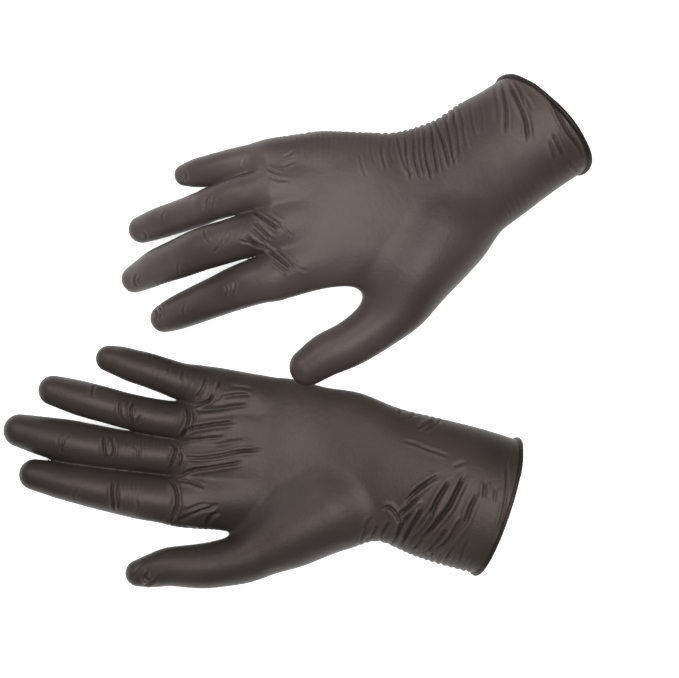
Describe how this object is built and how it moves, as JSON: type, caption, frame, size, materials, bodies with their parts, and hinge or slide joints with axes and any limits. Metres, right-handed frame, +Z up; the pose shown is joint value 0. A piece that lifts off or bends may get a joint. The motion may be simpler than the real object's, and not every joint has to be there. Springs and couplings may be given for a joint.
{
  "type": "pair of disposable gloves",
  "caption": "Pair of black disposable nitrile gloves that keep the shape of worn hands, one palm down and one palm up, with a rolled bead round each cuff.",
  "frame": {"origin": "under the middle of the pair, on the surface it lies on", "axes": "+X from the fingertips towards the cuffs, +Y from the left glove to the right glove, +Z up"},
  "size_m": [0.2763, 0.2415, 0.0544],
  "materials": {
    "film": "satin",
    "bead": "satin"
  },
  "bodies": {
    "right_hand": {"right_palm_and_back": "film"},
    "right_cuff_end": {"right_cuff": "film", "right_cuff_bead": "bead"},
    "right_thumb_base": {"right_thumb_base": "film"},
    "right_thumb_tip": {"right_thumb_tip": "film"},
    "right_index_base": {"right_index_base": "film"},
    "right_index_tip": {"right_index_tip": "film"},
    "right_middle_base": {"right_middle_base": "film"},
    "right_middle_tip": {"right_middle_tip": "film"},
    "right_ring_base": {"right_ring_base": "film"},
    "right_ring_tip": {"right_ring_tip": "film"},
    "right_little_base": {"right_little_base": "film"},
    "right_little_tip": {"right_little_tip": "film"},
    "left_hand": {"left_palm_and_back": "film"},
    "left_cuff_end": {"left_cuff": "film", "left_cuff_bead": "bead"},
    "left_thumb_base": {"left_thumb_base": "film"},
    "left_thumb_tip": {"left_thumb_tip": "film"},
    "left_index_base": {"left_index_base": "film"},
    "left_index_tip": {"left_index_tip": "film"},
    "left_middle_base": {"left_middle_base": "film"},
    "left_middle_tip": {"left_middle_tip": "film"},
    "left_ring_base": {"left_ring_base": "film"},
    "left_ring_tip": {"left_ring_tip": "film"},
    "left_little_base": {"left_little_base": "film"},
    "left_little_tip": {"left_little_tip": "film"}
  },
  "joints": [
    {"name": "right_wrist_bend", "type": "hinge", "parent": "right_hand", "child": "right_cuff_end", "pos_m": [0.0765, 0.0692, 0.05], "axis": [0.5, -0.866, 0], "range_deg": [0, 30], "stiffness_Nm_per_rad": 0.05},
    {"name": "right_thumb_root_bend", "type": "hinge", "parent": "right_hand", "child": "right_thumb_base", "pos_m": [0.03012, 0.00766, 0.02489], "axis": [0.4951, -0.459, -0.7377], "range_deg": [0, 35], "stiffness_Nm_per_rad": 0.003},
    {"name": "right_thumb_middle_bend", "type": "hinge", "parent": "right_thumb_base", "child": "right_thumb_tip", "pos_m": [0.01841, -0.00039, 0.02441], "axis": [0.394, -0.5324, -0.7492], "range_deg": [0, 45], "stiffness_Nm_per_rad": 0.003},
    {"name": "right_index_root_bend", "type": "hinge", "parent": "right_hand", "child": "right_index_base", "pos_m": [-0.01524, 0.02467, 0.02959], "axis": [0.358, -0.9337, 0], "range_deg": [0, 60], "stiffness_Nm_per_rad": 0.003},
    {"name": "right_index_middle_bend", "type": "hinge", "parent": "right_index_base", "child": "right_index_tip", "pos_m": [-0.02732, 0.02028, 0.02455], "axis": [0.3554, -0.9347, 0], "range_deg": [0, 75], "stiffness_Nm_per_rad": 0.003},
    {"name": "right_middle_root_bend", "type": "hinge", "parent": "right_hand", "child": "right_middle_base", "pos_m": [-0.02436, 0.04485, 0.03245], "axis": [0.3158, -0.9488, 0], "range_deg": [0, 60], "stiffness_Nm_per_rad": 0.003},
    {"name": "right_middle_middle_bend", "type": "hinge", "parent": "right_middle_base", "child": "right_middle_tip", "pos_m": [-0.03603, 0.04116, 0.02767], "axis": [0.3473, -0.9377, 0], "range_deg": [0, 75], "stiffness_Nm_per_rad": 0.003},
    {"name": "right_ring_root_bend", "type": "hinge", "parent": "right_hand", "child": "right_ring_base", "pos_m": [-0.02859, 0.06291, 0.0321], "axis": [0.287, -0.9579, 0], "range_deg": [0, 60], "stiffness_Nm_per_rad": 0.003},
    {"name": "right_ring_middle_bend", "type": "hinge", "parent": "right_ring_base", "child": "right_ring_tip", "pos_m": [-0.04049, 0.05923, 0.02706], "axis": [0.3152, -0.949, 0], "range_deg": [0, 75], "stiffness_Nm_per_rad": 0.003},
    {"name": "right_little_root_bend", "type": "hinge", "parent": "right_hand", "child": "right_little_base", "pos_m": [-0.01893, 0.08136, 0.02747], "axis": [0.1032, -0.9947, 0], "range_deg": [0, 60], "stiffness_Nm_per_rad": 0.003},
    {"name": "right_little_middle_bend", "type": "hinge", "parent": "right_little_base", "child": "right_little_tip", "pos_m": [-0.02924, 0.0793, 0.02497], "axis": [0.215, -0.9766, 0], "range_deg": [0, 75], "stiffness_Nm_per_rad": 0.003},
    {"name": "left_wrist_bend", "type": "hinge", "parent": "left_hand", "child": "left_cuff_end", "pos_m": [0.0341, -0.0659, 0.036], "axis": [-0.1513, -0.9885, 0], "range_deg": [0, 30], "stiffness_Nm_per_rad": 0.05},
    {"name": "left_thumb_root_bend", "type": "hinge", "parent": "left_hand", "child": "left_thumb_base", "pos_m": [-0.03793, -0.10275, 0.02474], "axis": [-0.2041, 0.7832, -0.5874], "range_deg": [0, 35], "stiffness_Nm_per_rad": 0.003},
    {"name": "left_thumb_middle_bend", "type": "hinge", "parent": "left_thumb_base", "child": "left_thumb_tip", "pos_m": [-0.05306, -0.10446, 0.02275], "axis": [-0.0552, 0.7988, -0.5991], "range_deg": [0, 45], "stiffness_Nm_per_rad": 0.003},
    {"name": "left_index_root_bend", "type": "hinge", "parent": "left_hand", "child": "left_index_base", "pos_m": [-0.06324, -0.07922, 0.0256], "axis": [0.0761, 0.9971, 0], "range_deg": [0, 60], "stiffness_Nm_per_rad": 0.003},
    {"name": "left_index_middle_bend", "type": "hinge", "parent": "left_index_base", "child": "left_index_tip", "pos_m": [-0.086, -0.0752, 0.0247], "axis": [0.198, 0.9802, 0], "range_deg": [0, 75], "stiffness_Nm_per_rad": 0.003},
    {"name": "left_middle_root_bend", "type": "hinge", "parent": "left_hand", "child": "left_middle_base", "pos_m": [-0.06407, -0.05749, 0.0219], "axis": [0.0974, 0.9952, 0], "range_deg": [0, 60], "stiffness_Nm_per_rad": 0.003},
    {"name": "left_middle_middle_bend", "type": "hinge", "parent": "left_middle_base", "child": "left_middle_tip", "pos_m": [-0.08789, -0.05482, 0.0226], "axis": [0.158, 0.9874, 0], "range_deg": [0, 75], "stiffness_Nm_per_rad": 0.003},
    {"name": "left_ring_root_bend", "type": "hinge", "parent": "left_hand", "child": "left_ring_base", "pos_m": [-0.06343, -0.04001, 0.024], "axis": [0.126, 0.992, 0], "range_deg": [0, 60], "stiffness_Nm_per_rad": 0.003},
    {"name": "left_ring_middle_bend", "type": "hinge", "parent": "left_ring_base", "child": "left_ring_tip", "pos_m": [-0.08006, -0.03719, 0.0242], "axis": [0.2171, 0.9762, 0], "range_deg": [0, 75], "stiffness_Nm_per_rad": 0.003},
    {"name": "left_little_root_bend", "type": "hinge", "parent": "left_hand", "child": "left_little_base", "pos_m": [-0.06037, -0.02084, 0.0229], "axis": [0.2782, 0.9605, 0], "range_deg": [0, 60], "stiffness_Nm_per_rad": 0.003},
    {"name": "left_little_middle_bend", "type": "hinge", "parent": "left_little_base", "child": "left_little_tip", "pos_m": [-0.07161, -0.01717, 0.0226], "axis": [0.2941, 0.9558, 0], "range_deg": [0, 75], "stiffness_Nm_per_rad": 0.003},
    {"name": "gloves_apart", "type": "slide", "parent": "right_hand", "child": "left_hand", "axis": [0, -1, 0], "range_m": [0, 0.2]}
  ]
}
